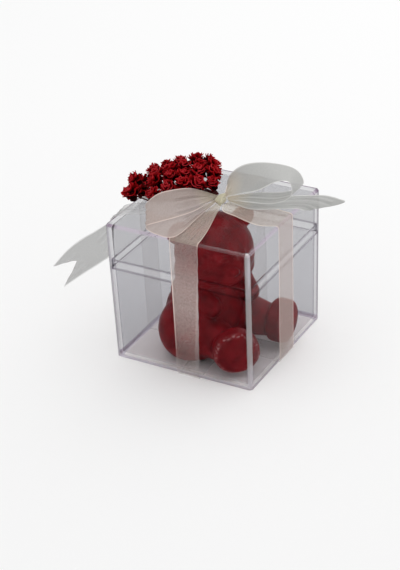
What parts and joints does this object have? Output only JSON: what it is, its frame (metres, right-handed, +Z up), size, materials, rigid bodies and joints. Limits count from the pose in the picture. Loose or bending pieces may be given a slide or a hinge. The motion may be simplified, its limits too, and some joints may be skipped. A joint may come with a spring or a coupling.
{
  "type": "favor box",
  "caption": "Clear two-piece favor box with a lift-off lid, a tied organza ribbon with a bow, a bunch of small dried flowers and a moulded wax bear inside.",
  "frame": {"origin": "middle of the underside, on the surface that the box stands on", "axes": "+Z up, +X to the right along the front face, +Y into the depth"},
  "size_m": [0.0945, 0.0519, 0.0638],
  "materials": {
    "clear_plastic": "clear polished moulded polystyrene with faint scuffs",
    "organza": "sheer ivory organza with a brighter woven edge",
    "red_wax": "deep red wax, satin, with pale dusty scuffs",
    "dried_petal": "dyed dried petals, matt, with pinkish rims",
    "dried_stem": "dyed dried stalks, matt"
  },
  "bodies": {
    "base": {"box_base": "clear_plastic", "ribbon_under_lower": "organza", "ribbon_under_upper": "organza"},
    "bear": {"favor_bear": "red_wax"},
    "lid": {"lid": "clear_plastic", "ribbon_top_front": "organza", "ribbon_top_right": "organza", "ribbon_top_back": "organza", "ribbon_top_left": "organza", "bow_knot": "organza", "bow_loop_left": "organza", "bow_loop_right": "organza", "bow_tail_left": "organza", "bow_tail_right": "organza", "flower_stems": "dried_stem", "flower_01": "dried_petal", "flower_02": "dried_petal", "flower_03": "dried_petal", "flower_04": "dried_petal", "flower_05": "dried_petal", "flower_06": "dried_petal", "flower_07": "dried_petal", "flower_08": "dried_petal", "flower_09": "dried_petal", "flower_10": "dried_petal", "flower_11": "dried_petal", "flower_12": "dried_petal", "flower_13": "dried_petal", "flower_14": "dried_petal", "flower_15": "dried_petal", "flower_16": "dried_petal", "flower_17": "dried_petal", "flower_18": "dried_petal", "flower_19": "dried_petal", "flower_20": "dried_petal", "flower_21": "dried_petal", "flower_22": "dried_petal", "flower_23": "dried_petal", "flower_24": "dried_petal"},
    "strand_front": {"ribbon_front": "organza"},
    "strand_right": {"ribbon_right": "organza"},
    "strand_back": {"ribbon_back": "organza"},
    "strand_left": {"ribbon_left": "organza"}
  },
  "joints": [
    {"name": "bear_lift", "type": "slide", "parent": "base", "child": "bear", "axis": [0, 0, 1], "range_m": [0, 0.04]},
    {"name": "lid_lift", "type": "slide", "parent": "bear", "child": "lid", "axis": [0, 0, 1], "range_m": [0, 0.06]},
    {"name": "strand_front_fall", "type": "hinge", "parent": "base", "child": "strand_front", "pos_m": [0, -0.02474, 0], "axis": [1, 0, 0], "range_deg": [0, 89]},
    {"name": "strand_right_fall", "type": "hinge", "parent": "base", "child": "strand_right", "pos_m": [0.02474, 0, 0], "axis": [0, 1, 0], "range_deg": [0, 89]},
    {"name": "strand_back_fall", "type": "hinge", "parent": "base", "child": "strand_back", "pos_m": [0, 0.02474, 0], "axis": [-1, 0, 0], "range_deg": [0, 89]},
    {"name": "strand_left_fall", "type": "hinge", "parent": "base", "child": "strand_left", "pos_m": [-0.02474, 0, 0], "axis": [0, -1, 0], "range_deg": [0, 89]}
  ],
  "couplings": [
    {"joint": "strand_front_fall", "follows": "lid_lift", "rad_per_m": 25.88},
    {"joint": "strand_right_fall", "follows": "lid_lift", "rad_per_m": 25.88},
    {"joint": "strand_back_fall", "follows": "lid_lift", "rad_per_m": 25.88},
    {"joint": "strand_left_fall", "follows": "lid_lift", "rad_per_m": 25.88}
  ]
}
